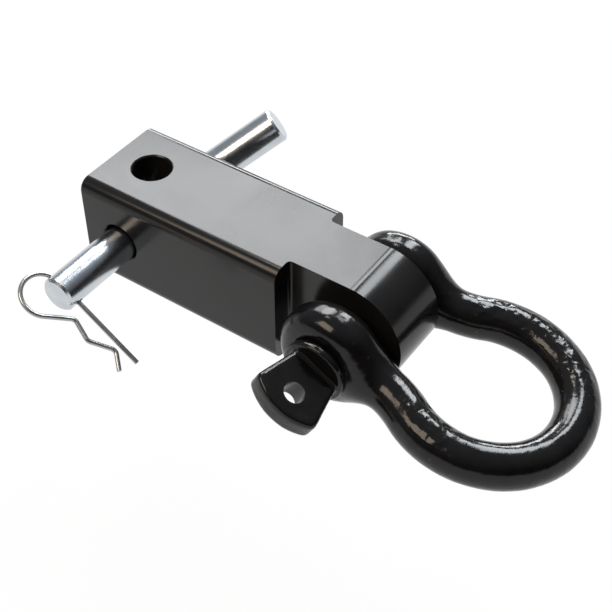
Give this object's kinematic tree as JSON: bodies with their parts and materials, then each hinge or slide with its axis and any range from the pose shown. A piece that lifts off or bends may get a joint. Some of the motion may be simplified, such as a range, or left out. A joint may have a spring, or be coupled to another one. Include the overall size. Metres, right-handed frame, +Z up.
{
  "type": "hitch receiver shackle",
  "caption": "Solid square receiver shank with a bow shackle on its tongue, held by a screw pin, with a bent hitch pin and a spring clip.",
  "frame": {"origin": "where the hitch pin's axis crosses the shank's centre line", "axes": "+X runs along the shank towards the shackle, +Y is the side of the hitch pin's bent leg, +Z is up"},
  "size_m": [0.2352, 0.1432, 0.056],
  "materials": {
    "satin_black_coat": "smooth semi-gloss black coat on milled steel bar",
    "gloss_black_paint": "thick gloss black paint over a slightly lumpy forging",
    "bright_zinc": "bright blue-white zinc plate on steel bar and spring wire"
  },
  "bodies": {
    "shank": {"receiver_shank": "satin_black_coat"},
    "bow": {"shackle_bow": "gloss_black_paint"},
    "screw_pin": {"shackle_pin": "gloss_black_paint"},
    "hitch": {"hitch_pin": "bright_zinc"},
    "clip": {"r_clip": "bright_zinc"}
  },
  "joints": [
    {"name": "bow_swing", "type": "hinge", "parent": "shank", "child": "bow", "pos_m": [0.112, -0.00105, -0.0006], "axis": [0, -1, 0], "range_deg": [-117, 134]},
    {"name": "shackle_pin_slide", "type": "slide", "parent": "bow", "child": "screw_pin", "axis": [0, -1, 0], "range_m": [0, 0.076]},
    {"name": "hitch_pin_slide", "type": "slide", "parent": "shank", "child": "hitch", "axis": [0, 1, 0], "range_m": [0, 0.033]},
    {"name": "clip_slide", "type": "slide", "parent": "hitch", "child": "clip", "axis": [-0.8413, 0, 0.5405], "range_m": [0, 0.018]}
  ]
}
